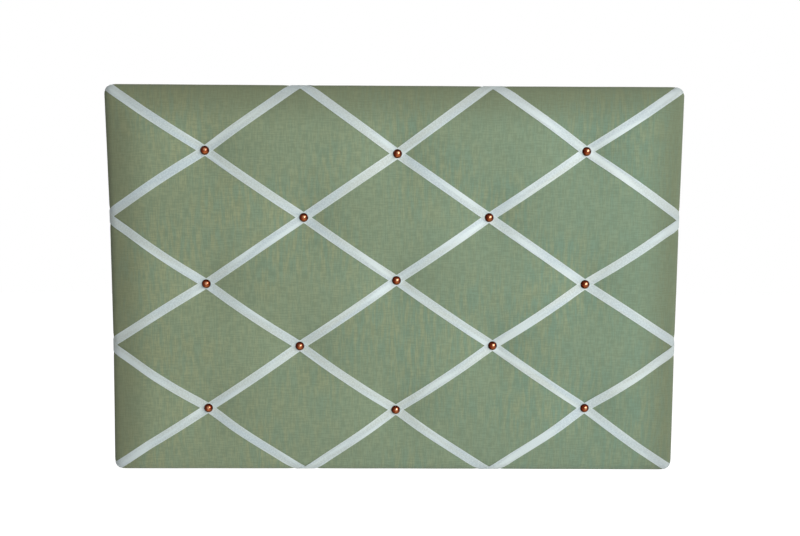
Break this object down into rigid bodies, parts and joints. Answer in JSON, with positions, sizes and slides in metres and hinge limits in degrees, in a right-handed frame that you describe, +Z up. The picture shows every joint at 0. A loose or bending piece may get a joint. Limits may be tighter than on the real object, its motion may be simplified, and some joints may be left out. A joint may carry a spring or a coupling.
{
  "type": "french memo board",
  "caption": "Landscape padded notice board: cloth over wadding on a stiff core, with a diagonal lattice of satin ribbons held by domed nails to tuck cards under, hung by D-rings.",
  "frame": {"origin": "centre of the rear face of the backing panel, in the board's middle", "axes": "+X to the right along the long side as seen from the front, +Y from the face to the wall, +Z up"},
  "size_m": [0.6028, 0.0304, 0.4108],
  "materials": {
    "core": "raw soft fibreboard",
    "wadding": "polyester wadding",
    "cover": "sage green plain-weave cloth, matt",
    "ribbon": "pale grey-white satin ribbon",
    "nail": "antique copper plate, polished dome",
    "staple": "zinc-plated wire",
    "hanger": "nickel-plated steel",
    "backing": "brown hardboard"
  },
  "bodies": {
    "board": {"backing_panel": "backing", "core_board": "core", "cover_fabric": "cover", "hanger_screw_left": "hanger", "hanger_screw_right": "hanger", "hanger_strap_left": "hanger", "hanger_strap_right": "hanger", "nail_1": "nail", "nail_10": "nail", "nail_11": "nail", "nail_12": "nail", "nail_13": "nail", "nail_2": "nail", "nail_3": "nail", "nail_4": "nail", "nail_5": "nail", "nail_6": "nail", "nail_7": "nail", "nail_8": "nail", "nail_9": "nail", "ribbon_fall_1": "ribbon", "ribbon_fall_1_staple_1": "staple", "ribbon_fall_1_staple_2": "staple", "ribbon_fall_2": "ribbon", "ribbon_fall_2_staple_1": "staple", "ribbon_fall_2_staple_2": "staple", "ribbon_fall_3": "ribbon", "ribbon_fall_3_staple_1": "staple", "ribbon_fall_3_staple_2": "staple", "ribbon_fall_4": "ribbon", "ribbon_fall_4_staple_1": "staple", "ribbon_fall_4_staple_2": "staple", "ribbon_fall_5": "ribbon", "ribbon_fall_5_staple_1": "staple", "ribbon_fall_5_staple_2": "staple", "ribbon_rise_1": "ribbon", "ribbon_rise_1_staple_1": "staple", "ribbon_rise_1_staple_2": "staple", "ribbon_rise_2": "ribbon", "ribbon_rise_2_staple_1": "staple", "ribbon_rise_2_staple_2": "staple", "ribbon_rise_3": "ribbon", "ribbon_rise_3_staple_1": "staple", "ribbon_rise_3_staple_2": "staple", "ribbon_rise_4": "ribbon", "ribbon_rise_4_staple_1": "staple", "ribbon_rise_4_staple_2": "staple", "ribbon_rise_5": "ribbon", "ribbon_rise_5_staple_1": "staple", "ribbon_rise_5_staple_2": "staple", "wadding_pad": "wadding"},
    "ring_left": {"hanger_ring_left": "hanger"},
    "ring_right": {"hanger_ring_right": "hanger"}
  },
  "joints": [
    {"name": "ring_left_swing", "type": "hinge", "parent": "board", "child": "ring_left", "pos_m": [-0.22, 0.0026, 0.12], "axis": [-1, 0, 0], "range_deg": [0, 180]},
    {"name": "ring_right_swing", "type": "hinge", "parent": "board", "child": "ring_right", "pos_m": [0.22, 0.0026, 0.12], "axis": [-1, 0, 0], "range_deg": [0, 180]}
  ]
}
